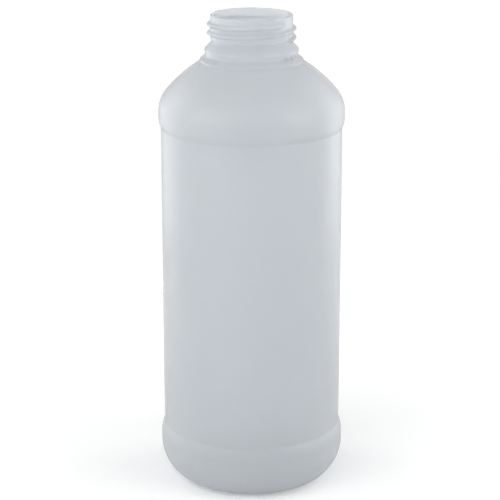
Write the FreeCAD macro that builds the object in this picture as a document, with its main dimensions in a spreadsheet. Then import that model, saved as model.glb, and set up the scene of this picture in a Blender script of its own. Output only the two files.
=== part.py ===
import FreeCAD, Part
import math
import os
from types import SimpleNamespace

import Sketcher

# A one litre blown bottle with a screw neck, all one piece. Half of its section is drawn in the XZ
# plane and turned about Z, the ratchet teeth and the thread are added on the neck, and the inside
# is turned out last. Lengths are in millimetres and angles in degrees. Z = 0 is the plane that the
# bottle stands on.

SIZES = [
    # the whole bottle
    ("overall_height", 223.4, "standing plane to the top of the rim"),
    ("body_radius", 43.4, "widest part, the lower band"),
    ("wall", 1.0, "blown wall, the same all over the body"),
    # foot and heel
    ("pushup_depth", 4.0, "height of the middle of the base"),
    ("foot_round", 3.0, "rounding from the foot in to the push-up"),
    ("foot_flat", 1.6, "width of the ring that the bottle stands on"),
    ("low_heel_radius", 14.2, "heel next to the foot"),
    ("high_heel_radius", 20.4, "heel next to the lower band"),
    ("heel_angle", 40.8, "turn of the upper heel arc"),
    # label panel, and the bands below and above it
    ("panel_recess", 1.4, "how far the panel is in from the lower band"),
    ("crease_round", 1.2, "fillet between the panel and each step"),
    ("low_band_height", 3.2, "straight part of the lower band"),
    ("low_step_radius", 13.5, "rounding from the lower band in to the panel"),
    ("high_band_inset", 0.3, "how far the upper band is in from the lower band"),
    ("high_band_height", 3.0, "straight part of the upper band"),
    ("high_step_radius", 10.0, "rounding from the panel out to the upper band"),
    # shoulder
    ("corner_radius", 14.0, "turn from the upper band into the shoulder"),
    ("corner_angle", 39.2, "turn of the corner arc"),
    ("shoulder_radius", 62.8, "long curve of the shoulder"),
    # outside of the neck, from the rim down
    ("neck_height", 11.2, "straight wall that carries the thread"),
    ("neck_radius", 18.95, "outside of the neck, at the root of the thread"),
    ("flare_height", 0.5, "slope from the neck in to the waist"),
    ("waist_height", 0.8, "waist between the neck and the bead"),
    ("waist_depth", 0.45, "how far the waist is in from the neck"),
    ("brow_height", 3.1, "slope from the waist out to the bead"),
    ("bead_height", 1.0, "bead round the top of the collar"),
    ("bead_reach", 2.7, "how far the bead stands out from the neck"),
    ("collar_height", 2.1, "collar under the bead"),
    ("collar_depth", 0.25, "how far the collar is in from the bead"),
    ("skirt_height", 1.8, "slope from the collar out to the ledge"),
    ("ledge_height", 1.1, "edge of the ledge, down to the shoulder"),
    ("ledge_reach", 2.5, "how far the ledge stands out from the collar"),
    ("edge_round", 0.45, "rounding of the ledge's and the bead's outer edges"),
    ("crook_round", 0.8, "fillet in the hollows under the ledge and the waist"),
    ("rim_round", 0.4, "rounding of the rim's two edges"),
    # inside of the neck
    ("neck_wall", 1.85, "wall of the neck, in from its outside"),
    ("bore_tail", 1.8, "how far the mouth's straight wall goes below the waist"),
    ("collar_wall", 2.0, "wall of the collar, in from its outside"),
    ("overshoot", 2.0, "how far the cut for the inside runs past the rim"),
    # right-hand thread of one start
    ("thread_pitch", 4.0, "rise in one turn"),
    ("thread_bearing", -20.0, "direction of the lower end, from +X"),
    ("thread_lift", 0.56, "lower end's middle, above the neck's foot"),
    ("thread_margin", 2.96, "upper end's middle, below the rim"),
    ("thread_height", 1.6, "how far the ridge stands out from the neck"),
    ("thread_width", 2.7, "width of the ridge at the neck"),
    ("thread_round", 0.75, "rounding of the top of the ridge"),
    ("thread_runout", 14.0, "angle over which each end sinks into the neck"),
    ("thread_bury", 0.15, "how far under the neck's wall each end has sunk at last"),
    ("thread_root", 0.6, "how far the ridge is rooted in the neck's wall"),
    # two groups of ratchet teeth on the ledge, opposite each other
    ("tooth_reach", 1.2, "how far a tooth stands out from the collar"),
    ("tooth_gap", 0.2, "gap between a tooth's top and the bead"),
    ("tooth_width", 1.2, "thickness of a tooth"),
    ("tooth_count", 3, "teeth in a group"),
    ("tooth_spacing", 10.8, "angle from one tooth to the next"),
    ("tooth_bearing", -43.4, "direction of the first tooth, from +X"),
    ("tooth_root", 0.5, "how far a tooth is rooted in the collar"),
]

START, END, CENTRE = 1, 2, 3     # a sketch's names for the points of an item
ORIGIN = (-1, 1)
LEVEL_AXIS, UPRIGHT_AXIS = -1, -2
SAME_PLACE = 0.01                # an edge is found by its radius and height to this
QUARTER = math.pi / 2


class Size(float):
    """A number to draw with, and the expression on the sheet that holds it there.

    The sum or difference of two sizes is a size too, and so is a size times or over a number
    or another size.
    """

    def __new__(cls, value, text):
        size = super().__new__(cls, value)
        size.text = text
        return size

    def __add__(self, other):
        total = float(self) + float(other)
        return Size(total, f"{self.text} + {other.text}") if isinstance(other, Size) else total

    def __sub__(self, other):
        left = float(self) - float(other)
        return Size(left, f"{self.text} - ({other.text})") if isinstance(other, Size) else left

    def times(self, factor):
        text = factor.text if isinstance(factor, Size) else factor
        return Size(float(self) * factor, f"({self.text}) * ({text})")

    def over(self, divisor):
        text = divisor.text if isinstance(divisor, Size) else divisor
        return Size(float(self) / divisor, f"({self.text}) / ({text})")

    def turned(self):
        """The angle in radians, for a sketch."""
        return Size(math.radians(self), f"({self.text}) * 1 deg")


SIZE = SimpleNamespace(**{alias: Size(value, f"Sizes.{alias}") for alias, value, note in SIZES})
NOTHING = Size(0.0, "0")

# radii that follow from the sizes
panel_radius = SIZE.body_radius - SIZE.panel_recess
high_band_radius = SIZE.body_radius - SIZE.high_band_inset
waist_radius = SIZE.neck_radius - SIZE.waist_depth
bead_radius = SIZE.neck_radius + SIZE.bead_reach
collar_radius = bead_radius - SIZE.collar_depth
ledge_radius = collar_radius + SIZE.ledge_reach
bore_radius = SIZE.neck_radius - SIZE.neck_wall
throat_radius = collar_radius - SIZE.collar_wall

# heights on the neck, from the rim down
rim = SIZE.overall_height
neck_foot = rim - SIZE.neck_height
waist_top = neck_foot - SIZE.flare_height
waist_foot = waist_top - SIZE.waist_height
bead_top = waist_foot - SIZE.brow_height
bead_foot = bead_top - SIZE.bead_height
collar_foot = bead_foot - SIZE.collar_height
ledge_top = collar_foot - SIZE.skirt_height
ledge_foot = ledge_top - SIZE.ledge_height


class Outline:
    """A sketch in a plane through Z: across is the distance from Z, and up is the height."""

    def __init__(self, body, name, bearing=None):
        self.sketch = body.newObject("Sketcher::SketchObject", name)
        plane = [item for item in body.Origin.OriginFeatures if item.Role == "XZ_Plane"][0]
        self.sketch.AttachmentSupport = [(plane, "")]
        self.sketch.MapMode = "FlatFace"
        if bearing is not None:
            about_z = FreeCAD.Rotation(FreeCAD.Vector(0, 1, 0), 0)
            self.sketch.AttachmentOffset = FreeCAD.Placement(FreeCAD.Vector(), about_z)
            self.sketch.setExpression("AttachmentOffset.Rotation.Angle", bearing.turned().text)

    def line(self, start, end):
        segment = Part.LineSegment(FreeCAD.Vector(*start, 0), FreeCAD.Vector(*end, 0))
        return self.sketch.addGeometry(segment, False)

    def circle(self, centre, radius):
        return Part.Circle(FreeCAD.Vector(*centre, 0), FreeCAD.Vector(0, 0, 1), radius)

    def arc(self, centre, radius, start, end):
        circle = self.circle(centre, radius)
        return self.sketch.addGeometry(Part.ArcOfCircle(circle, start, end), False)

    def guide_circle(self, centre, radius):
        return self.sketch.addGeometry(self.circle(centre, radius), True)

    def guide_point(self, place):
        return self.sketch.addGeometry(Part.Point(FreeCAD.Vector(*place, 0)), True)

    def tie(self, kind, *where):
        """Adds a constraint that has no size."""
        self.sketch.addConstraint(Sketcher.Constraint(kind, *where))

    def fix(self, kind, where, size):
        """Adds a constraint whose size comes from the sheet."""
        index = self.sketch.addConstraint(Sketcher.Constraint(kind, *where, float(size)))
        self.sketch.setExpression(f"Constraints[{index}]", size.text)

    def place(self, item, spot, across, up):
        """Fixes a point of an item by its two distances from the origin."""
        self.fix("DistanceX", (*ORIGIN, item, spot), across)
        self.fix("DistanceY", (*ORIGIN, item, spot), up)

    def meet(self, first, second):
        """Joins two items end to start."""
        self.tie("Coincident", first, END, second, START)

    def flow(self, first, second):
        """Joins two items end to start, with no corner."""
        self.tie("Tangent", first, END, second, START)

    def loop(self, corners):
        """Draws straight lines from corner to corner and back to the first."""
        lines = []
        for corner, following in zip(corners, corners[1:] + corners[:1]):
            lines.append(self.line(corner, following))
            self.place(lines[-1], START, *corner)
        for first, second in zip(lines, lines[1:] + lines[:1]):
            self.meet(first, second)


def draw_wall(outline, inset, end_radius):
    """Draws the wall from the middle of the base to the end of the shoulder.

    The inside has the same arcs about the same centres as the outside, each closer by the inset.
    Returns the dome, the panel and the shoulder.
    """
    # heel: two arcs in one curve, level at the foot and upright at the band
    heel_turn = SIZE.heel_angle.turned()
    heel_apart = SIZE.high_heel_radius - SIZE.low_heel_radius
    high_heel_across = SIZE.body_radius - SIZE.high_heel_radius
    high_heel_up = SIZE.low_heel_radius + heel_apart * math.sin(heel_turn)
    low_heel_across = high_heel_across + heel_apart * math.cos(heel_turn)

    # push-up: a shallow dome about the axis, blended into the foot
    foot_across = low_heel_across - SIZE.foot_flat
    foot_up, rise = SIZE.foot_round, SIZE.pushup_depth
    dome_up = (rise**2 + 2 * rise * foot_up - foot_across**2) / (2 * rise)
    dome_edge = math.atan2(foot_up - dome_up, foot_across)

    # shoulder: the outside goes through the foot of the ledge
    corner_turn = SIZE.corner_angle.turned()
    shoulder_apart = SIZE.shoulder_radius - SIZE.corner_radius
    corner_across = high_band_radius - SIZE.corner_radius
    shoulder_across = corner_across - shoulder_apart * math.cos(corner_turn)
    shoulder_up = ledge_foot - math.sqrt(SIZE.shoulder_radius**2 - (ledge_radius - shoulder_across) ** 2)
    corner_up = shoulder_up + shoulder_apart * math.sin(corner_turn)
    end_turn = math.acos((end_radius - shoulder_across) / (SIZE.shoulder_radius - inset))

    # bands: each steps in to the panel with an arc
    panel_across = panel_radius - inset
    low_step_across = SIZE.body_radius - SIZE.low_step_radius
    low_step_up = high_heel_up + SIZE.low_band_height
    low_turn = math.acos((panel_across - low_step_across) / (SIZE.low_step_radius - inset))
    high_step_across = high_band_radius - SIZE.high_step_radius
    high_step_up = corner_up - SIZE.high_band_height
    high_turn = math.acos((panel_across - high_step_across) / (SIZE.high_step_radius - inset))

    def wall_arc(centre, radius, start, end):
        item = outline.arc(centre, radius - inset, start, end)
        outline.fix("Radius", (item,), radius - inset)
        return item

    def wall_line(across, foot, top):
        item = outline.line((across - inset, foot), (across - inset, top))
        outline.tie("Vertical", item)
        outline.fix("DistanceX", (*ORIGIN, item, START), across - inset)
        return item

    dome = outline.arc((0, dome_up), rise - dome_up + inset, dome_edge, QUARTER)
    foot = wall_arc((foot_across, foot_up), SIZE.foot_round, dome_edge - math.pi, -QUARTER)
    flat = outline.line((foot_across, inset), (low_heel_across, inset))
    low_heel = wall_arc((low_heel_across, SIZE.low_heel_radius), SIZE.low_heel_radius, -QUARTER, -heel_turn)
    high_heel = wall_arc((high_heel_across, high_heel_up), SIZE.high_heel_radius, -heel_turn, 0)
    low_band = wall_line(SIZE.body_radius, high_heel_up, low_step_up)
    low_step = wall_arc((low_step_across, low_step_up), SIZE.low_step_radius, 0, low_turn)
    panel_foot = low_step_up + (SIZE.low_step_radius - inset) * math.sin(low_turn)
    panel_top = high_step_up - (SIZE.high_step_radius - inset) * math.sin(high_turn)
    panel = wall_line(panel_radius, panel_foot, panel_top)
    high_step = wall_arc((high_step_across, high_step_up), SIZE.high_step_radius, -high_turn, 0)
    high_band = wall_line(high_band_radius, high_step_up, corner_up)
    corner = wall_arc((corner_across, corner_up), SIZE.corner_radius, 0, corner_turn)
    shoulder = wall_arc((shoulder_across, shoulder_up), SIZE.shoulder_radius, corner_turn, end_turn)

    # the dome is drawn from its edge to the axis, so it meets the foot start to start
    outline.tie("PointOnObject", dome, CENTRE, UPRIGHT_AXIS)
    outline.tie("PointOnObject", dome, END, UPRIGHT_AXIS)
    outline.fix("DistanceY", (*ORIGIN, dome, END), rise + inset)
    outline.tie("Tangent", dome, START, foot, START)
    outline.tie("Horizontal", flat)
    outline.fix("DistanceX", (flat, START, flat, END), SIZE.foot_flat)
    outline.fix("DistanceY", (*ORIGIN, flat, START), inset)
    for first, second in (
        (foot, flat), (flat, low_heel), (low_heel, high_heel), (high_heel, low_band),
        (low_band, low_step), (high_step, high_band), (high_band, corner), (corner, shoulder),
    ):
        outline.flow(first, second)
    outline.meet(low_step, panel)
    outline.meet(panel, high_step)
    outline.fix("Angle", (high_heel,), heel_turn)
    outline.fix("Angle", (corner,), corner_turn)
    outline.fix("DistanceY", (low_band, START, low_band, END), SIZE.low_band_height)
    outline.fix("DistanceY", (high_band, START, high_band, END), SIZE.high_band_height)

    # the shoulder hangs from the ledge by a guide, which is its outside
    guide = outline.guide_circle((shoulder_across, shoulder_up), SIZE.shoulder_radius)
    outline.fix("Radius", (guide,), SIZE.shoulder_radius)
    outline.tie("Coincident", guide, CENTRE, shoulder, CENTRE)
    ledge_point = outline.guide_point((ledge_radius, ledge_foot))
    outline.place(ledge_point, START, ledge_radius, ledge_foot)
    outline.tie("PointOnObject", ledge_point, START, guide)
    outline.fix("DistanceX", (*ORIGIN, shoulder, END), end_radius)
    return dome, panel, shoulder


def draw_neck(outline, dome, shoulder, corners):
    """Draws straight lines from the shoulder through the corners, in to Z and down to the dome."""
    last = shoulder
    last_point = outline.sketch.Geometry[shoulder].EndPoint
    last_place = last_point.x, last_point.y
    for corner in corners:
        line = outline.line(last_place, corner)
        outline.meet(last, line)
        outline.place(line, END, *corner)
        last, last_place = line, corner
    top = corners[-1][1]
    cover = outline.line(last_place, (0, top))
    outline.meet(last, cover)
    outline.tie("PointOnObject", cover, END, UPRIGHT_AXIS)
    outline.tie("Horizontal", cover)
    axis = outline.line((0, top), (0, outline.sketch.Geometry[dome].EndPoint.y))
    outline.meet(cover, axis)
    outline.tie("Coincident", axis, END, dome, END)


def turn_about_z(body, kind, name, outline):
    """Turns an outline all the way round Z, to add to the body or to cut it."""
    feature = body.newObject(kind, name)
    feature.Profile = outline.sketch
    feature.ReferenceAxis = (outline.sketch, ["V_Axis"])
    feature.Angle = 360
    body.Tip = feature
    body.Document.recompute()


def round_edges(body, name, places, radius):
    """Fillets the circular edges of the body that are at these radii and heights."""
    base = body.Tip
    names = []
    for number, edge in enumerate(base.Shape.Edges, start=1):
        if edge.Degenerated or not isinstance(edge.Curve, Part.Circle):
            continue
        found = edge.Curve.Radius, edge.Curve.Center.z
        if any(math.dist(found, place) < SAME_PLACE for place in places):
            names.append(f"Edge{number}")
    if len(names) != len(places):
        raise RuntimeError(f"{name}: {len(names)} edges found for {len(places)} places")
    fillet = body.newObject("PartDesign::Fillet", name)
    fillet.Base = (base, names)
    fillet.setExpression("Radius", radius.text)
    body.Tip = fillet
    body.Document.recompute()


def add_outside(body):
    """Turns the closed bottle, neck and all, as one solid, and rounds its edges."""
    outline = Outline(body, "OutsideOutline")
    dome, panel, shoulder = draw_wall(outline, NOTHING, ledge_radius)
    draw_neck(outline, dome, shoulder, [
        (ledge_radius, ledge_top),
        (collar_radius, collar_foot),
        (collar_radius, bead_foot),
        (bead_radius, bead_foot),
        (bead_radius, bead_top),
        (waist_radius, waist_foot),
        (waist_radius, waist_top),
        (SIZE.neck_radius, neck_foot),
        (SIZE.neck_radius, rim),
    ])
    turn_about_z(body, "PartDesign::Revolution", "Outside", outline)

    panel_line = outline.sketch.Geometry[panel]
    creases = [(point.x, point.y) for point in (panel_line.StartPoint, panel_line.EndPoint)]
    edges = [(ledge_radius, ledge_top), (bead_radius, bead_top)]
    crooks = [(ledge_radius, ledge_foot), (waist_radius, waist_foot)]
    round_edges(body, "PanelCreases", creases, SIZE.crease_round)
    round_edges(body, "CollarEdges", edges, SIZE.edge_round)
    round_edges(body, "CollarCrooks", crooks, SIZE.crook_round)


def add_inside(body):
    """Turns out the inside, from the dome up to the mouth, and rounds the rim."""
    outline = Outline(body, "InsideOutline")
    dome, _, shoulder = draw_wall(outline, SIZE.wall, throat_radius)
    draw_neck(outline, dome, shoulder, [
        (throat_radius, bead_foot),
        (bore_radius, waist_foot - SIZE.bore_tail),
        (bore_radius, rim + SIZE.overshoot),
    ])
    full_volume = body.Shape.Volume
    turn_about_z(body, "PartDesign::Groove", "Inside", outline)
    if body.Shape.Volume > full_volume / 2:
        raise RuntimeError("the inside wasn't turned out")
    round_edges(body, "RimEdges", [(SIZE.neck_radius, rim), (bore_radius, rim)], SIZE.rim_round)


def draw_ridge(body, name, turns, sink):
    """Draws the thread's section, some turns on from its lower end and sunk in towards Z."""
    outline = Outline(body, name, SIZE.thread_bearing + turns.times(360))
    middle = neck_foot + SIZE.thread_lift + turns.times(SIZE.thread_pitch)
    low, high = middle - SIZE.thread_width.over(2), middle + SIZE.thread_width.over(2)
    wall = SIZE.neck_radius - sink
    root = wall - SIZE.thread_root
    crest_across = wall + SIZE.thread_height - SIZE.thread_round

    # the flanks are tangent to the round crest
    reach = math.hypot(crest_across - wall, high - middle)
    slope = math.atan2(high - middle, crest_across - wall) - math.asin(SIZE.thread_round / reach)
    flank_across = crest_across + SIZE.thread_round * math.sin(slope)
    flank_rise = SIZE.thread_round * math.cos(slope)
    low_root = outline.line((root, low), (wall, low))
    low_flank = outline.line((wall, low), (flank_across, middle - flank_rise))
    crest = outline.arc((crest_across, middle), SIZE.thread_round, slope - QUARTER, QUARTER - slope)
    high_flank = outline.line((flank_across, middle + flank_rise), (wall, high))
    high_root = outline.line((wall, high), (root, high))
    back = outline.line((root, high), (root, low))

    outline.place(low_root, START, root, low)
    outline.place(low_flank, START, wall, low)
    outline.place(crest, CENTRE, crest_across, middle)
    outline.place(high_root, START, wall, high)
    outline.place(back, START, root, high)
    outline.fix("Radius", (crest,), SIZE.thread_round)
    outline.meet(low_root, low_flank)
    outline.flow(low_flank, crest)
    outline.flow(crest, high_flank)
    outline.meet(high_flank, high_root)
    outline.meet(high_root, back)
    outline.meet(back, low_root)
    return outline.sketch


def add_thread(body):
    """Adds the thread's ridge, and at each end a stretch that sinks into the neck."""
    climb = SIZE.neck_height - SIZE.thread_lift - SIZE.thread_margin
    turns = climb.over(SIZE.thread_pitch)
    ridge = draw_ridge(body, "RidgeOutline", NOTHING, NOTHING)
    thread = body.newObject("PartDesign::AdditiveHelix", "Thread")
    thread.Profile = ridge
    thread.ReferenceAxis = (ridge, ["V_Axis"])
    thread.Mode = "pitch-turns-angle"
    thread.setExpression("Pitch", SIZE.thread_pitch.text)
    thread.setExpression("Turns", turns.text)
    body.Tip = thread
    body.Document.recompute()

    runout = SIZE.thread_runout.over(360)
    sunk = SIZE.thread_height + SIZE.thread_bury
    for name, near, far in (("Foot", NOTHING, NOTHING - runout), ("Rim", turns, turns + runout)):
        near_end = draw_ridge(body, f"{name}NearOutline", near, NOTHING)
        far_end = draw_ridge(body, f"{name}FarOutline", far, sunk)
        slope = body.newObject("PartDesign::AdditiveLoft", f"{name}Runout")
        slope.Profile = near_end
        slope.Sections = [(far_end, [""])]
        slope.Ruled = True
        body.Tip = slope
        body.Document.recompute()


def add_teeth(body):
    """Adds the two groups of ratchet teeth that stand on the ledge against the collar."""
    axis = [item for item in body.Origin.OriginFeatures if item.Role == "Z_Axis"][0]
    root = collar_radius - SIZE.tooth_root
    edge = collar_radius + SIZE.tooth_reach
    top = bead_foot - SIZE.tooth_gap
    corners = [(root, ledge_top), (edge, ledge_top), (edge, top - SIZE.tooth_reach), (root, top)]
    half_turn = Size(180.0, "180")
    for group, turn in (("Right", NOTHING), ("Left", half_turn)):
        outline = Outline(body, f"{group}ToothOutline", SIZE.tooth_bearing + turn)
        outline.loop(corners)
        tooth = body.newObject("PartDesign::Pad", f"{group}Tooth")
        tooth.Profile = outline.sketch
        tooth.SideType = "Symmetric"
        tooth.setExpression("Length", SIZE.tooth_width.text)
        teeth = body.newObject("PartDesign::PolarPattern", f"{group}Teeth")
        teeth.Originals = [tooth]
        teeth.Axis = (axis, [""])
        teeth.setExpression("Angle", "Sizes.tooth_spacing * (Sizes.tooth_count - 1) * 1 deg")
        teeth.setExpression("Occurrences", SIZE.tooth_count.text)
        body.Tip = teeth
        body.Document.recompute()


doc = FreeCAD.newDocument("bottle")
sheet = doc.addObject("Spreadsheet::Sheet", "Sizes")
for row, (alias, value, note) in enumerate(SIZES, start=1):
    sheet.set(f"A{row}", note)
    sheet.set(f"B{row}", str(value))
    sheet.setAlias(f"B{row}", alias)
doc.recompute()

bottle = doc.addObject("PartDesign::Body", "bottle")
add_outside(bottle)
add_teeth(bottle)
add_thread(bottle)
add_inside(bottle)
doc.recompute()

for item in doc.Objects:
    if "Invalid" in item.State or "Error" in item.State:
        raise RuntimeError(f"{item.Name} failed: {item.State}")
    if item.TypeId == "Sketcher::SketchObject" and item.DoF:
        raise RuntimeError(f"{item.Name} isn't fully held")

os.makedirs("parts", exist_ok=True)
for part in (bottle,):
    if part.Shape.isNull() or not part.Shape.isValid() or len(part.Shape.Solids) != 1:
        raise RuntimeError(f"{part.Label} isn't one sound solid")
    part.Shape.exportStep(f"parts/{part.Label}.step")
    print(f"{part.Label}: {part.Shape.Volume:.0f} mm3, {part.Shape.Area:.0f} mm2")
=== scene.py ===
"""The looks of a one litre bottle of natural polyethylene with an open screw neck.

The bottle is blown in one piece and stands on a plain white table in soft studio light. Its sizes
are in millimetres and degrees, and its meshes are in metres, in the frame of the CAD model, with Z
up its axis.
"""

import logging
import math
from collections.abc import Mapping
from dataclasses import dataclass, field
from enum import Enum
from typing import Union

import bpy
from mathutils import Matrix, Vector


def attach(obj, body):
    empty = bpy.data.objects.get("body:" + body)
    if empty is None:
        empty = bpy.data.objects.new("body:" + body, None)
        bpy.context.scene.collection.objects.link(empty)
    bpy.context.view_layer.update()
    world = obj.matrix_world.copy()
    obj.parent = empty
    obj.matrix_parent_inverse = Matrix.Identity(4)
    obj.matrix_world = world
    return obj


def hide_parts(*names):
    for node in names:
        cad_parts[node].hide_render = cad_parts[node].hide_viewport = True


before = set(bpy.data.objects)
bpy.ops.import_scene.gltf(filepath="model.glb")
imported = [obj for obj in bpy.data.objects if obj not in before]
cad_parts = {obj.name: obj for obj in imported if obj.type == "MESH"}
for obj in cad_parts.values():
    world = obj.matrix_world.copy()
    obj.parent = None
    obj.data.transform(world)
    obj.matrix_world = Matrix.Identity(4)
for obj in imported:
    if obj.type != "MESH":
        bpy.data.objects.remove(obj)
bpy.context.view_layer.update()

log = logging.getLogger("bottle")
MM = 0.001
QUARTER = math.pi / 2
TURN = 2 * math.pi
NO_LENGTH = 1e-6  # millimetres, below which a line isn't drawn
WELD = 1e-6  # metres, within which points become one
Place = tuple[float, float]
Colour = tuple[float, float, float]


class Field:
    """A node's output that takes part in sums, each of which adds a Math node to its tree."""

    def __init__(self, tree: bpy.types.NodeTree, socket: bpy.types.NodeSocket) -> None:
        """Wraps a socket.

        Args:
            tree: The tree that the socket's node is in.
            socket: The output socket.
        """
        self.tree = tree
        self.socket = socket

    def _math(self, operation: str, *values: "Number") -> "Field":
        """Adds a Math node.

        Args:
            operation: The node's operation.
            values: What goes into its sockets, in order.

        Returns:
            The node's result.
        """
        node = self.tree.nodes.new("ShaderNodeMath")
        node.operation = operation
        for socket, value in zip(node.inputs, values):
            plug(self.tree, socket, value)
        return Field(self.tree, node.outputs[0])

    def __add__(self, other: "Number") -> "Field":
        """self + other."""
        return self._math("ADD", self, other)

    def __radd__(self, other: "Number") -> "Field":
        """other + self."""
        return self._math("ADD", other, self)

    def __sub__(self, other: "Number") -> "Field":
        """self - other."""
        return self._math("SUBTRACT", self, other)

    def __rsub__(self, other: "Number") -> "Field":
        """other - self."""
        return self._math("SUBTRACT", other, self)

    def __mul__(self, other: "Number") -> "Field":
        """self * other."""
        return self._math("MULTIPLY", self, other)

    def __rmul__(self, other: "Number") -> "Field":
        """other * self."""
        return self._math("MULTIPLY", other, self)

    def __truediv__(self, other: "Number") -> "Field":
        """self / other."""
        return self._math("DIVIDE", self, other)

    def __rtruediv__(self, other: "Number") -> "Field":
        """other / self."""
        return self._math("DIVIDE", other, self)

    def __gt__(self, other: "Number") -> "Field":
        """1 where self is more than other, else 0."""
        return self._math("GREATER_THAN", self, other)

    def __lt__(self, other: "Number") -> "Field":
        """1 where self is less than other, else 0."""
        return self._math("LESS_THAN", self, other)

    def __abs__(self) -> "Field":
        """The size of self, without its sign."""
        return self._math("ABSOLUTE", self)

    def root(self) -> "Field":
        """The square root of self."""
        return self._math("SQRT", self)

    def fraction(self) -> "Field":
        """What is left of self above the whole number below it."""
        return self._math("FRACT", self)

    def nearest(self) -> "Field":
        """The whole number nearest to self."""
        return self._math("ROUND", self)

    def whole(self) -> "Field":
        """The whole number below self."""
        return self._math("FLOOR", self)

    def cosine(self) -> "Field":
        """The cosine of self, in radians."""
        return self._math("COSINE", self)

    def sine(self) -> "Field":
        """The sine of self, in radians."""
        return self._math("SINE", self)

    def at_least(self, other: "Number") -> "Field":
        """The larger of self and other."""
        return self._math("MAXIMUM", self, other)

    def at_most(self, other: "Number") -> "Field":
        """The smaller of self and other."""
        return self._math("MINIMUM", self, other)


Number = Union[Field, float, int]
Plug = Union[Field, bpy.types.NodeSocket, float, int, tuple, str, bool, bpy.types.ID]


def plug(tree: bpy.types.NodeTree, socket: bpy.types.NodeSocket, value: Plug) -> None:
    """Links a socket to an output, or sets its value.

    Args:
        tree: The tree that the socket's node is in.
        socket: The input socket.
        value: An output to link, or a plain value.
    """
    if isinstance(value, Field):
        value = value.socket
    if isinstance(value, bpy.types.NodeSocket):
        tree.links.new(value, socket)
    else:
        socket.default_value = value


def solid(colour: Colour) -> tuple[float, float, float, float]:
    """A colour as a colour socket takes it."""
    return (*colour, 1.0)


def grey(level: float) -> tuple[float, float, float, float]:
    """A grey as a colour socket takes it."""
    return solid((level, level, level))


class Graph:
    """A node tree that is built one node at a time."""

    def __init__(self, tree: bpy.types.NodeTree) -> None:
        """Wraps an empty tree."""
        self.tree = tree

    def add(
        self,
        kind: str,
        settings: Mapping[str, object] | None = None,
        inputs: Mapping[str | int, Plug] | None = None,
    ) -> bpy.types.Node:
        """Adds a node.

        Args:
            kind: The node's type.
            settings: Its properties, which are set before its sockets.
            inputs: Values or links for its sockets, by name or number.

        Returns:
            The node.
        """
        node = self.tree.nodes.new(kind)
        for name, value in (settings or {}).items():
            setattr(node, name, value)
        for name, value in (inputs or {}).items():
            plug(self.tree, node.inputs[name], value)
        return node

    def field(self, node: bpy.types.Node, output: str | int = 0) -> Field:
        """One output of a node, for use in sums."""
        return Field(self.tree, node.outputs[output])

    def mix(self, share: Number, first: Plug, second: Plug) -> bpy.types.NodeSocket:
        """Mixes two colours.

        Args:
            share: How much of the second colour there is, from 0 to 1.
            first: The first colour.
            second: The second colour.

        Returns:
            The mixed colour.
        """
        # the node's colour sockets share their names with others, so they go by number
        inputs = {0: share, 6: first, 7: second}
        return self.add("ShaderNodeMix", {"data_type": "RGBA"}, inputs).outputs[2]


def empty_graph(owner: bpy.types.Material | bpy.types.World) -> Graph:
    """Gives a material or a world an empty node tree.

    Args:
        owner: The material or world.

    Returns:
        The tree.
    """
    owner.use_nodes = True
    owner.node_tree.nodes.clear()
    return Graph(owner.node_tree)


def add_object(name: str, data: bpy.types.ID) -> bpy.types.Object:
    """Puts an object into the scene.

    Args:
        name: The object's name.
        data: Its mesh, light or camera.

    Returns:
        The object, at the origin.
    """
    item = bpy.data.objects.new(name, data)
    bpy.context.scene.collection.objects.link(item)
    return item


def final_mesh(item: bpy.types.Object) -> bpy.types.Mesh:
    """A new mesh of an object as its modifiers leave it."""
    evaluated = item.evaluated_get(bpy.context.evaluated_depsgraph_get())
    return bpy.data.meshes.new_from_object(evaluated)


class Kind(Enum):
    """The kinds of input that a geometry tree takes."""

    GEOMETRY = "NodeSocketGeometry"
    LENGTH = "NodeSocketFloat"
    COUNT = "NodeSocketInt"
    MATERIAL = "NodeSocketMaterial"


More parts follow.
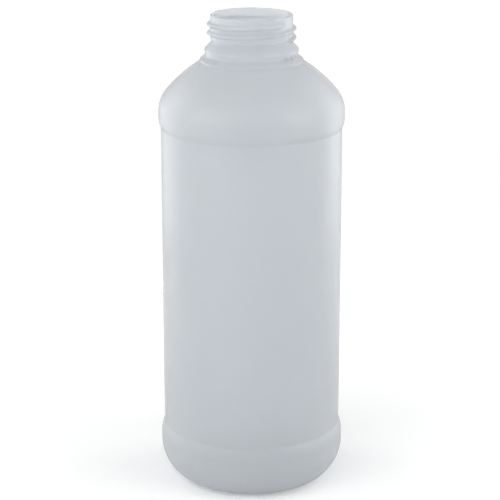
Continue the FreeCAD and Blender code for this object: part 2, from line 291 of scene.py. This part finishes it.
class GeometryTree(Graph):
    """A Geometry Nodes tree with named inputs, used once to make a plain mesh."""

    def __init__(self, name: str, inputs: Mapping[str, tuple[Kind, object]]) -> None:
        """Makes the tree and its inputs.

        Args:
            name: The tree's name.
            inputs: Each input's kind and value, by name.
        """
        super().__init__(bpy.data.node_groups.new(name, "GeometryNodeTree"))
        self.values: dict[str, object] = {}
        sockets = self.tree.interface
        sockets.new_socket("Geometry", in_out="INPUT", socket_type=Kind.GEOMETRY.value)
        for label, (kind, value) in inputs.items():
            item = sockets.new_socket(label, in_out="INPUT", socket_type=kind.value)
            self.values[item.identifier] = value
        sockets.new_socket("Geometry", in_out="OUTPUT", socket_type=Kind.GEOMETRY.value)
        self.start = self.tree.nodes.new("NodeGroupInput")
        self.end = self.tree.nodes.new("NodeGroupOutput")

    def given(self, name: str) -> Field:
        """One of the tree's inputs, for use in sums."""
        return Field(self.tree, self.start.outputs[name])

    def close(self, geometry: bpy.types.NodeSocket) -> None:
        """Ends the tree with smooth shading, Realize Instances and Set Material.

        Args:
            geometry: The finished geometry.
        """
        smooth = self.add("GeometryNodeSetShadeSmooth", {}, {"Geometry": geometry})
        real = self.add("GeometryNodeRealizeInstances", {}, {"Geometry": smooth.outputs[0]})
        dressed = self.add(
            "GeometryNodeSetMaterial", {},
            {"Geometry": real.outputs[0], "Material": self.given("Material")},
        )
        plug(self.tree, self.end.inputs["Geometry"], dressed.outputs[0])

    def grow(self, name: str, seed: bpy.types.Mesh) -> bpy.types.Object:
        """Runs the tree on a mesh and keeps the result as a plain mesh.

        Args:
            name: The new object's name.
            seed: The mesh that the tree starts from.

        Returns:
            The new object, at the origin.
        """
        source = add_object(f"{name}_seed", seed)
        modifier = source.modifiers.new(self.tree.name, "NODES")
        modifier.node_group = self.tree
        for identifier, value in self.values.items():
            modifier[identifier] = value
        mesh = final_mesh(source)
        mesh.name = name
        mesh.materials.pop(index=0)  # the empty slot that the seed had
        bpy.data.objects.remove(source)
        bpy.data.meshes.remove(seed)
        return add_object(name, mesh)


@dataclass(frozen=True)
class Corner:
    """A rounded corner of a section, and how many pieces the line to it is in."""

    across: float
    up: float
    rounding: float
    steps: int = 1


@dataclass
class Section:
    """Half of a turned shape, as places (distance from Z, height) in millimetres."""

    places: list[Place] = field(default_factory=list)
    corner_steps: int = 4

    def go(self, across: float, up: float, steps: int = 1) -> None:
        """Draws a straight line.

        Args:
            across: The end's distance from Z.
            up: The end's height.
            steps: How many pieces the line is in.
        """
        if not self.places:
            self.places.append((across, up))
            return
        start_across, start_up = self.places[-1]
        if math.dist(self.places[-1], (across, up)) < NO_LENGTH:
            return
        for step in range(1, steps + 1):
            share = step / steps
            self.places.append(
                (start_across + (across - start_across) * share, start_up + (up - start_up) * share)
            )

    def arc(self, centre: Place, radius: float, start: float, end: float, steps: int) -> None:
        """Draws an arc.

        Args:
            centre: The arc's centre.
            radius: Its radius.
            start: The angle that it starts at, from the across direction, in radians.
            end: The angle that it ends at.
            steps: How many pieces it is in.
        """
        for step in range(steps + 1):
            angle = start + (end - start) * step / steps
            self.go(centre[0] + radius * math.cos(angle), centre[1] + radius * math.sin(angle))

    def rounded(self, corners: list[Corner], end: Place) -> None:
        """Draws straight lines through corners and rounds each corner.

        Args:
            corners: The corners, in order.
            end: Where the last line ends.
        """
        places = [self.places[-1]] + [(corner.across, corner.up) for corner in corners] + [end]
        for number, corner in enumerate(corners, start=1):
            tip = Vector(places[number])
            back = (Vector(places[number - 1]) - tip).normalized()
            ahead = (Vector(places[number + 1]) - tip).normalized()
            half = back.angle(ahead) / 2
            reach = corner.rounding / math.tan(half)
            middle = tip + (back + ahead).normalized() * (corner.rounding / math.sin(half))
            first, last = tip + back * reach, tip + ahead * reach
            self.go(*first, corner.steps)
            start = math.atan2(*(first - middle).yx)
            turn = math.atan2(*(last - middle).yx) - start
            turn = (turn + math.pi) % TURN - math.pi
            self.arc(tuple(middle), corner.rounding, start, start + turn, self.corner_steps)
        self.go(*end)

    def mesh(self, name: str) -> bpy.types.Mesh:
        """The section as loose points in the XZ plane, in metres.

        Args:
            name: The mesh's name.

        Returns:
            The mesh.
        """
        mesh = bpy.data.meshes.new(name)
        points = [(across * MM, 0.0, up * MM) for across, up in self.places]
        mesh.from_pydata(points, [], [])
        return mesh


@dataclass
class Thread:
    """The right-hand thread of one start on the outside of the neck.

    It starts `lift` above the foot of the neck's straight wall and ends `margin` below the rim. Its
    ridge is only raised from `foot_gap` above the waist's foot, and where the wall is less than
    `face_depth` inside the neck's radius, so the bore stays smooth.
    """

    pitch: float = 4.0
    bearing: float = -20.0
    lift: float = 0.56
    margin: float = 2.96
    height: float = 1.6
    width: float = 2.7
    crest_round: float = 0.75
    runout: float = 14.0
    bury: float = 0.15
    foot_gap: float = 0.2
    face_depth: float = 0.6

    def flank(self) -> tuple[float, float]:
        """Where the straight flank meets the round crest.

        Returns:
            How far that is from the middle of the ridge, and the flank's slope.
        """
        rise, half = self.height - self.crest_round, self.width / 2
        turn = math.atan2(half, rise) - math.asin(self.crest_round / math.hypot(rise, half))
        beside = self.crest_round * math.cos(turn)
        return beside, (rise + self.crest_round * math.sin(turn)) / (half - beside)


@dataclass
class Shell:
    """The bottle's wall from the foot to the rim, with its thread, as one closed surface."""

    height: float = 223.4
    body_radius: float = 43.4
    wall: float = 1.0
    pushup_depth: float = 4.0
    foot_round: float = 3.0
    foot_flat: float = 1.6
    low_heel_radius: float = 14.2
    high_heel_radius: float = 20.4
    heel_angle: float = 40.8
    panel_recess: float = 1.4
    crease_round: float = 0.5
    low_band_height: float = 3.2
    low_step_radius: float = 13.5
    high_band_inset: float = 0.3
    high_band_height: float = 3.0
    high_step_radius: float = 10.0
    corner_radius: float = 14.0
    corner_angle: float = 39.2
    shoulder_radius: float = 62.8
    neck_height: float = 11.2
    neck_radius: float = 18.95
    flare_height: float = 0.5
    waist_height: float = 0.8
    waist_depth: float = 0.45
    brow_height: float = 3.1
    bead_height: float = 1.0
    bead_reach: float = 2.7
    collar_height: float = 2.1
    collar_depth: float = 0.25
    skirt_height: float = 1.8
    skirt_round: float = 0.24
    ledge_height: float = 1.1
    ledge_reach: float = 2.5
    edge_round: float = 0.45
    crook_round: float = 0.8
    rim_round: float = 0.4
    soft_round: float = 0.12
    neck_wall: float = 1.85
    bore_tail: float = 1.8
    bore_round: float = 0.36
    collar_wall: float = 2.0
    segments: int = 192
    thread: Thread = field(default_factory=Thread)

    @property
    def high_heel(self) -> Place:
        """Centre of the heel's upper arc."""
        apart = self.high_heel_radius - self.low_heel_radius
        rise = apart * math.sin(math.radians(self.heel_angle))
        return self.body_radius - self.high_heel_radius, self.low_heel_radius + rise

    @property
    def high_band(self) -> float:
        """Radius of the upper band."""
        return self.body_radius - self.high_band_inset

    @property
    def collar_radius(self) -> float:
        """Radius of the collar under the bead."""
        return self.neck_radius + self.bead_reach - self.collar_depth

    @property
    def ledge_radius(self) -> float:
        """Radius of the ledge under the collar."""
        return self.collar_radius + self.ledge_reach

    @property
    def neck_foot(self) -> float:
        """Height of the lower end of the neck's straight wall."""
        return self.height - self.neck_height

    @property
    def waist_foot(self) -> float:
        """Height where the bead's slope meets the waist."""
        return self.neck_foot - self.flare_height - self.waist_height

    @property
    def bead_foot(self) -> float:
        """Height of the bead's underside."""
        return self.waist_foot - self.brow_height - self.bead_height

    @property
    def ledge_top(self) -> float:
        """Height of the ledge's outer edge."""
        return self.bead_foot - self.collar_height - self.skirt_height

    @property
    def shoulder(self) -> Place:
        """Centre of the shoulder's arc."""
        apart = self.shoulder_radius - self.corner_radius
        shift = apart * math.cos(math.radians(self.corner_angle))
        across = self.high_band - self.corner_radius - shift
        hang = math.sqrt(self.shoulder_radius**2 - (self.ledge_radius - across) ** 2)
        return across, self.ledge_top - self.ledge_height - hang

    @property
    def corner(self) -> Place:
        """Centre of the arc at the shoulder's corner."""
        apart = self.shoulder_radius - self.corner_radius
        rise = apart * math.sin(math.radians(self.corner_angle))
        return self.high_band - self.corner_radius, self.shoulder[1] + rise

    def draw_base(self, section: Section, inset: float) -> None:
        """Draws the push-up, the foot and the heel, from the axis outwards.

        Args:
            section: What they are drawn in.
            inset: How far inside the outer face they are.
        """
        turn = math.radians(self.heel_angle)
        apart = self.high_heel_radius - self.low_heel_radius
        low_heel = self.high_heel[0] + apart * math.cos(turn), self.low_heel_radius
        foot = low_heel[0] - self.foot_flat, self.foot_round
        rise = self.pushup_depth
        dome_up = (rise**2 + 2 * rise * foot[1] - foot[0] ** 2) / (2 * rise)
        dome_edge = math.atan2(foot[1] - dome_up, foot[0])
        section.arc((0.0, dome_up), rise - dome_up + inset, QUARTER, dome_edge, steps=24)
        section.arc(foot, self.foot_round - inset, dome_edge - math.pi, -QUARTER, steps=8)
        section.arc(low_heel, self.low_heel_radius - inset, -QUARTER, -turn, steps=14)
        section.arc(self.high_heel, self.high_heel_radius - inset, -turn, 0.0, steps=12)

    def draw_panel(self, section: Section, inset: float) -> None:
        """Draws the recessed panel, with the step and the band at each end of it.

        Args:
            section: What they are drawn in.
            inset: How far inside the outer face they are.
        """
        low_reach = self.low_step_radius + self.crease_round
        high_reach = self.high_step_radius + self.crease_round
        low_up = self.high_heel[1] + self.low_band_height
        low_step = self.body_radius - self.low_step_radius, low_up
        high_up = self.corner[1] - self.high_band_height
        high_step = self.high_band - self.high_step_radius, high_up
        across = self.body_radius - self.panel_recess + self.crease_round
        low_turn = math.acos((across - low_step[0]) / low_reach)
        low_crease = across, low_up + low_reach * math.sin(low_turn)
        high_turn = math.acos((across - high_step[0]) / high_reach)
        high_crease = across, high_up - high_reach * math.sin(high_turn)
        crease = self.crease_round + inset
        section.arc(low_step, self.low_step_radius - inset, 0.0, low_turn, steps=5)
        section.arc(low_crease, crease, low_turn + math.pi, math.pi, steps=4)
        section.go(across - crease, high_crease[1], steps=24)
        section.arc(high_crease, crease, math.pi, math.pi - high_turn, steps=4)
        section.arc(high_step, self.high_step_radius - inset, -high_turn, 0.0, steps=5)

    def draw_shoulder(self, section: Section, inset: float, end_radius: float) -> None:
        """Draws the shoulder and its corner.

        Args:
            section: What they are drawn in.
            inset: How far inside the outer face they are.
            end_radius: The ledge's radius outside, or the throat's inside.
        """
        turn = math.radians(self.corner_angle)
        section.arc(self.corner, self.corner_radius - inset, 0.0, turn, steps=10)
        shoulder = self.shoulder
        reach = self.shoulder_radius - inset
        if inset:
            end_turn = math.acos((end_radius - shoulder[0]) / reach)
            section.arc(shoulder, reach, turn, end_turn, steps=28)
            return
        crook_reach = reach + self.crook_round
        crook_across = end_radius + self.crook_round
        crook_turn = math.acos((crook_across - shoulder[0]) / crook_reach)
        crook = crook_across, shoulder[1] + crook_reach * math.sin(crook_turn)
        section.arc(shoulder, reach, turn, crook_turn, steps=28)
        section.arc(crook, self.crook_round, crook_turn + math.pi, math.pi, steps=5)

    def section(self) -> Section:
        """The wall's whole section, from the base's outside, over the rim, to its inside.

        Returns:
            The section, both ends on the axis.
        """
        collar = self.collar_radius
        bead = collar + self.collar_depth
        waist = self.neck_radius - self.waist_depth
        bore = self.neck_radius - self.neck_wall
        throat = collar - self.collar_wall
        outside, inside = Section(), Section()
        for face, inset, end_radius in (
            (outside, 0.0, self.ledge_radius),
            (inside, self.wall, throat),
        ):
            self.draw_base(face, inset)
            self.draw_panel(face, inset)
            self.draw_shoulder(face, inset, end_radius)
        soft, edge = self.soft_round, self.edge_round
        outside.rounded(
            [
                Corner(self.ledge_radius, self.ledge_top, edge),
                Corner(collar, self.bead_foot - self.collar_height, self.skirt_round, steps=3),
                Corner(collar, self.bead_foot, soft, steps=3),
                Corner(bead, self.bead_foot, soft),
                Corner(bead, self.bead_foot + self.bead_height, edge),
                Corner(waist, self.waist_foot, self.crook_round, steps=6),
                Corner(waist, self.waist_foot + self.waist_height, soft, steps=2),
                Corner(self.neck_radius, self.neck_foot, soft, steps=3),
                Corner(self.neck_radius, self.height, self.rim_round, steps=64),
                Corner(bore, self.height, self.rim_round, steps=3),
                Corner(bore, self.waist_foot - self.bore_tail, self.bore_round, steps=8),
                Corner(throat, self.bead_foot, self.bore_round, steps=3),
            ],
            inside.places[-1],
        )
        outside.places += inside.places[-2::-1]
        return outside

    def build(self, finish: bpy.types.Material) -> bpy.types.Object:
        """Turns the section round Z and raises the thread on the neck.

        Args:
            finish: The material.

        Returns:
            The shell's object.
        """
        thread = self.thread
        beside, slope = thread.flank()
        start = self.neck_foot + thread.lift
        turns = (self.height - thread.margin - start) / thread.pitch
        tree = GeometryTree("turned shell", {
            "Material": (Kind.MATERIAL, finish),
            "Segments": (Kind.COUNT, self.segments),
            "Neck radius": (Kind.LENGTH, self.neck_radius * MM),
            "Outer face": (Kind.LENGTH, (self.neck_radius - thread.face_depth) * MM),
            "Neck foot": (Kind.LENGTH, (self.waist_foot + thread.foot_gap) * MM),
            "Thread pitch": (Kind.LENGTH, thread.pitch * MM),
            "Thread start": (Kind.LENGTH, start * MM),
            "Thread turns": (Kind.LENGTH, turns),
            "Thread bearing": (Kind.LENGTH, math.radians(thread.bearing) / TURN),
            "Thread height": (Kind.LENGTH, thread.height * MM),
            "Thread half width": (Kind.LENGTH, thread.width / 2 * MM),
            "Crest round": (Kind.LENGTH, thread.crest_round * MM),
            "Flank start": (Kind.LENGTH, beside * MM),
            "Flank slope": (Kind.LENGTH, slope),
            "Run-out": (Kind.LENGTH, math.radians(thread.runout) / TURN),
            "Bury": (Kind.LENGTH, thread.bury * MM),
        })
        profile = tree.start.outputs["Geometry"]

        # a grid of unit size, whose one side is the section and whose other side goes once round
        points = tree.add(
            "GeometryNodeAttributeDomainSize", {"component": "MESH"}, {"Geometry": profile}
        )
        count = tree.field(points, "Point Count")
        grid = tree.add("GeometryNodeMeshGrid", {}, {
            "Size X": 1.0, "Size Y": 1.0,
            "Vertices X": tree.given("Segments") + 1, "Vertices Y": count,
        })
        flat = tree.add("GeometryNodeInputPosition")
        sheet = tree.add("ShaderNodeSeparateXYZ", {}, {"Vector": flat.outputs[0]})
        round_share = tree.field(sheet, "X") + 0.5
        row = ((tree.field(sheet, "Y") + 0.5) * (count - 1)).nearest()
        sampled = tree.add(
            "GeometryNodeSampleIndex", {"data_type": "FLOAT_VECTOR"},
            {"Geometry": profile, "Value": flat.outputs[0], "Index": row},
        )
        place = tree.add("ShaderNodeSeparateXYZ", {}, {"Vector": sampled.outputs[0]})
        across, up = tree.field(place, "X"), tree.field(place, "Z")

        # the ridge: how far along the thread, and how far above or below its middle
        along = (round_share - tree.given("Thread bearing")).fraction()
        climb = (up - tree.given("Thread start")) / tree.given("Thread pitch") - along
        coil = climb.nearest()
        off = abs((climb - coil) * tree.given("Thread pitch"))
        travelled = along + coil
        past = (0.0 - travelled).at_least(travelled - tree.given("Thread turns")).at_least(0.0)
        sink = past / tree.given("Run-out") * (tree.given("Thread height") + tree.given("Bury"))
        crest_round = tree.given("Crest round")
        crown = (crest_round * crest_round - off * off).at_least(0.0).root()
        crown = crown + tree.given("Thread height") - crest_round
        flank = (tree.given("Thread half width") - off) * tree.given("Flank slope")
        on_flank = off > tree.given("Flank start")
        ridge = crown * (1 - on_flank) + flank * on_flank - sink
        on_neck = (up > tree.given("Neck foot")) * (across > tree.given("Outer face"))
        raised = (tree.given("Neck radius") + ridge).at_least(across)
        reach = raised * on_neck + across * (1 - on_neck)

        angle = round_share * TURN
        turned = tree.add("ShaderNodeCombineXYZ", {}, {
            "X": reach * angle.cosine(),
            "Y": reach * angle.sine(),
            "Z": up,
        })
        bent = tree.add(
            "GeometryNodeSetPosition", {},
            {"Geometry": grid.outputs["Mesh"], "Position": turned.outputs[0]},
        )
        closed = tree.add(
            "GeometryNodeMergeByDistance", {}, {"Geometry": bent.outputs[0], "Distance": WELD}
        )
        tree.close(closed.outputs[0])
        return tree.grow("bottle_shell", self.section().mesh("shell section"))


@dataclass
class RatchetTeeth:
    """Two opposite groups of small teeth on the ledge, which catch a cap's skirt."""

    reach: float = 1.2
    top_gap: float = 0.2
    width: float = 1.2
    root: float = 0.4
    count: int = 3
    groups: int = 2
    spacing: float = 10.8
    bearing: float = -43.4
    edge: float = 0.18
    edge_steps: int = 3

    def seed(self, shell: Shell) -> bpy.types.Mesh:
        """One tooth at bearing 0, with rounded edges.

        Args:
            shell: The wall that the teeth stand on.

        Returns:
            The tooth's mesh.
        """
        inner, outer = shell.collar_radius - self.root, shell.collar_radius + self.reach
        foot, top = shell.ledge_top, shell.bead_foot - self.top_gap
        outline = [(inner, foot), (outer, foot), (outer, top - self.reach), (inner, top)]
        half = self.width / 2
        points = [
            (across * MM, side * half * MM, up * MM) for side in (-1, 1) for across, up in outline
        ]
        corners = len(outline)
        faces = [(0, 1, 2, 3), (7, 6, 5, 4)]
        for corner in range(corners):
            following = (corner + 1) % corners
            faces.append((corner, corners + corner, corners + following, following))
        mesh = bpy.data.meshes.new("tooth")
        mesh.from_pydata(points, [], faces)
        sharp = add_object("tooth_seed", mesh)
        bevel = sharp.modifiers.new("edges", "BEVEL")
        bevel.width, bevel.segments, bevel.limit_method = self.edge * MM, self.edge_steps, "NONE"
        rounded = final_mesh(sharp)
        bpy.data.objects.remove(sharp)
        return rounded

    def build(self, shell: Shell, finish: bpy.types.Material) -> bpy.types.Object:
        """Repeats the tooth round the collar.

        Args:
            shell: The wall that the teeth stand on.
            finish: The material.

        Returns:
            The teeth's object.
        """
        tree = GeometryTree("ratchet teeth", {
            "Material": (Kind.MATERIAL, finish),
            "Teeth": (Kind.COUNT, self.count),
            "Groups": (Kind.COUNT, self.groups),
            "Spacing": (Kind.LENGTH, math.radians(self.spacing)),
            "Bearing": (Kind.LENGTH, math.radians(self.bearing)),
        })
        points = tree.add(
            "GeometryNodePoints", {}, {"Count": tree.given("Teeth") * tree.given("Groups")}
        )
        number = tree.field(tree.add("GeometryNodeInputIndex"))
        group = (number / tree.given("Teeth")).whole()
        within = number - group * tree.given("Teeth")
        angle = (
            tree.given("Bearing") + within * tree.given("Spacing")
            + group / tree.given("Groups") * TURN
        )
        turn = tree.add("ShaderNodeCombineXYZ", {}, {"Z": angle})
        copies = tree.add("GeometryNodeInstanceOnPoints", {}, {
            "Points": points.outputs[0],
            "Instance": tree.start.outputs["Geometry"],
            "Rotation": turn.outputs[0],
        })
        tree.close(copies.outputs[0])
        return tree.grow("ratchet_teeth", self.seed(shell))


@dataclass(frozen=True)
class NaturalPolyethylene:
    """Unpigmented high-density polyethylene: milky, waxy and translucent.

    `milk` and `thick` are its colours where the wall is thin and where it is thick. The neck and
    the foot are painted a lighter colour, painted light that makes up for the shade they render
    with. Heights are in metres.
    """

    name: str = "natural polyethylene"
    milk: Colour = (0.76, 0.785, 0.81)
    thick: Colour = (0.73, 0.755, 0.78)
    # painted light: the lighter colour painted on the neck and the foot
    painted_light_colour: Colour = (0.766, 0.791, 0.816)
    neck_from: float = 0.198
    neck_blend: float = 0.004
    foot_to: float = 0.030
    roughness: float = 0.54
    grain_roughness: float = 0.06
    streak_roughness: float = 0.05
    clearness: float = 0.6
    bend: float = 1.2
    depth: float = 0.006
    sheen_coat: float = 0.6
    coat_roughness: float = 0.25
    stain: Colour = (0.30, 0.38, 0.46)
    stain_density: float = 50.0
    streak_scale: float = 30.0
    streak_stretch: float = 0.25
    grain_scale: float = 900.0
    bump_strength: float = 0.12
    bump_distance: float = 0.00012
    streak_bump: float = 2.0

    def make(self) -> bpy.types.Material:
        """Builds the material.

        Returns:
            The material.
        """
        material = bpy.data.materials.new(self.name)
        graph = empty_graph(material)
        here = graph.add("ShaderNodeTexCoord").outputs["Object"]

        # the blown wall is thicker in soft upright streaks, which look a little greyer
        stretched = graph.add("ShaderNodeMapping", {}, {
            "Vector": here, "Scale": (1.0, 1.0, self.streak_stretch),
        })
        streaks = graph.field(graph.add("ShaderNodeTexNoise", {}, {
            "Vector": stretched.outputs[0], "Scale": self.streak_scale,
            "Detail": 3.0, "Roughness": 0.5,
        }), "Fac")
        grain = graph.field(graph.add("ShaderNodeTexNoise", {}, {
            "Vector": here, "Scale": self.grain_scale, "Detail": 2.0, "Roughness": 0.6,
        }), "Fac")
        wall = graph.mix(streaks, solid(self.milk), solid(self.thick))

        # painted light: the neck and the foot get a lighter colour, which makes up for the shade
        # they render with
        up = graph.field(graph.add("ShaderNodeSeparateXYZ", {}, {"Vector": here}), "Z")
        neck = ((up - self.neck_from) / self.neck_blend).at_least(0.0).at_most(1.0)
        foot = ((self.foot_to - up) / self.foot_to).at_least(0.0)
        bump = graph.add("ShaderNodeBump", {}, {
            "Strength": self.bump_strength, "Distance": self.bump_distance,
            "Height": grain + streaks * self.streak_bump,
        })
        surface = graph.add("ShaderNodeBsdfPrincipled", {}, {
            "Base Color": graph.mix(neck + foot, wall, solid(self.painted_light_colour)),
            "Roughness": (
                self.roughness + (grain - 0.5) * self.grain_roughness
                + (streaks - 0.5) * self.streak_roughness
            ),
            "IOR": self.bend,
            "Transmission Weight": self.clearness,
            "Subsurface Weight": 1.0,
            "Subsurface Radius": (1.0, 1.0, 1.0),
            "Subsurface Scale": self.depth,
            "Coat Weight": self.sheen_coat,
            "Coat Roughness": self.coat_roughness,
            "Normal": bump.outputs[0],
        })
        body = graph.add("ShaderNodeVolumeAbsorption", {}, {
            "Color": solid(self.stain), "Density": self.stain_density,
        })
        graph.add("ShaderNodeOutputMaterial", {}, {
            "Surface": surface.outputs[0], "Volume": body.outputs[0],
        })
        return material


@dataclass(frozen=True)
class Softbox:
    """A large area lamp that faces a point on the bottle's axis.

    `bearing` is round from the front and `rise` above level, in degrees. `distance`, `width`,
    `length` and the point's height `aim` are in metres, and `power` is in watts. One that isn't
    `mirrored` gives light but no highlight.
    """

    name: str
    bearing: float
    rise: float
    distance: float
    width: float
    length: float
    power: float
    aim: float
    mirrored: bool = True

    def hang(self) -> None:
        """Adds the lamp."""
        light = bpy.data.lights.new(self.name, "AREA")
        light.shape, light.size, light.size_y = "RECTANGLE", self.width, self.length
        light.energy = self.power
        angle, tilt = math.radians(self.bearing), math.radians(self.rise)
        target = Vector((0.0, 0.0, self.aim))
        away = Vector((
            math.sin(angle) * math.cos(tilt), -math.cos(angle) * math.cos(tilt), math.sin(tilt)
        ))
        lamp = add_object(self.name, light)
        lamp.visible_camera, lamp.visible_glossy = False, self.mirrored
        lamp.location = target + away * self.distance
        lamp.rotation_euler = (-away).to_track_quat("-Z", "Y").to_euler()


@dataclass(frozen=True)
class Studio:
    """White table, white surroundings, soft lamps and the camera.

    The table and the surroundings are white as they are seen, straight, in gloss or through the
    plastic, and light the bottle less. The table's glow goes from `near_glow` at the bottle to
    `far_glow` at `glow_reach` and beyond, where less of the lamps' light falls.
    """

    table_size: float = 6.0
    table_colour: float = 0.85
    near_glow: float = 0.18
    far_glow: float = 0.72
    glow_reach: float = 1.03
    ambient: float = 0.29
    lamps: tuple[Softbox, ...] = (
        # name, bearing, rise, distance, width, length, power and aim
        Softbox("left_softbox", -60.0, 25.0, 0.9, 0.5, 0.9, 1.7, 0.14),
        Softbox("right_softbox", 60.0, 25.0, 0.9, 0.5, 0.9, 2.8, 0.14),
        Softbox("left_low_softbox", -118.0, 8.0, 0.8, 0.4, 0.5, 0.3, 0.14),
        Softbox("right_low_softbox", 113.0, 8.0, 0.8, 0.4, 0.5, 0.6, 0.14),
        Softbox("left_strip", -122.0, 0.0, 0.42, 0.3, 0.42, 0.5, 0.22),
        Softbox("right_strip", 121.0, 0.0, 0.42, 0.3, 0.42, 0.52, 0.22),
        Softbox("left_high_softbox", -115.0, 32.0, 0.8, 0.3, 0.3, 0.25, 0.1),
        Softbox("right_high_softbox", 115.0, 32.0, 0.8, 0.3, 0.3, 0.25, 0.1),
        Softbox("key_strip", -44.0, 0.0, 0.42, 0.25, 0.42, 0.2, 0.22),
        Softbox("front_light", -22.0, 30.0, 1.5, 1.5, 1.2, 7.65, 0.12, mirrored=False),
        Softbox("top_light", 0.0, 88.0, 1.0, 1.0, 1.0, 1.5, 0.12, mirrored=False),
    )
    camera_distance: float = 0.8579
    camera_height: float = 0.3684
    camera_pitch: float = 16.68
    lens: float = 136.7
    sensor: float = 36.0
    shift: float = -0.0032

    def seen(self, graph: Graph) -> Field:
        """1 for rays that look at a thing straight, in gloss or through the plastic, else 0."""
        path = graph.add("ShaderNodeLightPath")
        seen = graph.field(path, "Is Camera Ray") + graph.field(path, "Is Glossy Ray")
        return (seen + graph.field(path, "Is Transmission Ray")).at_most(1.0)

    def surround(self) -> None:
        """Sets the world: white where it is seen, and dimmer where it lights the bottle."""
        world = bpy.data.worlds.new("surroundings")
        graph = empty_graph(world)
        strength = self.ambient + self.seen(graph) * (1.0 - self.ambient)
        white = graph.add("ShaderNodeBackground", {}, {"Color": grey(1.0), "Strength": strength})
        graph.add("ShaderNodeOutputWorld", {}, {"Surface": white.outputs[0]})
        bpy.context.scene.world = world

    def lay_table(self) -> None:
        """Adds the table top."""
        material = bpy.data.materials.new("white table")
        graph = empty_graph(material)
        paint = graph.add("ShaderNodeBsdfDiffuse", {}, {"Color": grey(self.table_colour)})
        here = graph.add("ShaderNodeTexCoord").outputs["Object"]
        away = graph.add("ShaderNodeVectorMath", {"operation": "LENGTH"}, {0: here})
        share = (graph.field(away, "Value") / self.glow_reach).at_most(1.0)
        glow = graph.add("ShaderNodeEmission", {}, {
            "Color": graph.mix(share, grey(self.near_glow), grey(self.far_glow)),
            "Strength": self.seen(graph),
        })
        both = graph.add("ShaderNodeAddShader", {}, {0: paint.outputs[0], 1: glow.outputs[0]})
        graph.add("ShaderNodeOutputMaterial", {}, {"Surface": both.outputs[0]})
        half = self.table_size / 2
        corners = [(-half, -half, 0.0), (half, -half, 0.0), (half, half, 0.0), (-half, half, 0.0)]
        mesh = bpy.data.meshes.new("table_top")
        mesh.from_pydata(corners, [], [(0, 1, 2, 3)])
        mesh.materials.append(material)
        table = add_object("table_top", mesh)

    def set_camera(self) -> None:
        """Adds the camera, in front of the bottle and a little above it."""
        view = bpy.data.cameras.new("camera")
        view.lens, view.sensor_width, view.shift_x = self.lens, self.sensor, self.shift
        camera = add_object("camera", view)
        camera.location = (0.0, -self.camera_distance, self.camera_height)
        camera.rotation_euler = (QUARTER - math.radians(self.camera_pitch), 0.0, 0.0)
        bpy.context.scene.camera = camera

    def build(self) -> None:
        """Sets up everything round the bottle."""
        self.surround()
        self.lay_table()
        for lamp in self.lamps:
            lamp.hang()
        self.set_camera()
        bpy.context.scene.view_settings.view_transform = "Standard"


def join(piece: bpy.types.Object, other: bpy.types.Object) -> None:
    """Makes one closed surface of two that overlap, and drops the second.

    Args:
        piece: What keeps the result.
        other: What is joined to it.
    """
    union = piece.modifiers.new("join", "BOOLEAN")
    union.operation, union.solver, union.object = "UNION", "MANIFOLD", other
    joined = final_mesh(piece)
    finish = piece.data.materials[0]
    joined.polygons.foreach_set("material_index", [0] * len(joined.polygons))
    joined.materials.clear()
    joined.materials.append(finish)
    piece.modifiers.clear()
    piece.data = joined
    bpy.data.objects.remove(other)


def seat(piece: bpy.types.Object) -> None:
    """Puts a finished piece on the bottle's body and reports it.

    Args:
        piece: The piece.
    """
    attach(piece, "root")
    log.info("%s: %d faces", piece.name, len(piece.data.polygons))


def main() -> None:
    """Builds the bottle and its surroundings."""
    logging.basicConfig(level=logging.INFO, format="%(name)s %(message)s")
    finish = NaturalPolyethylene().make()
    shell = Shell()
    wall = shell.build(finish)
    join(wall, RatchetTeeth().build(shell, finish))
    seat(wall)
    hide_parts("bottle")
    Studio().build()


if __name__ == "__main__":
    main()
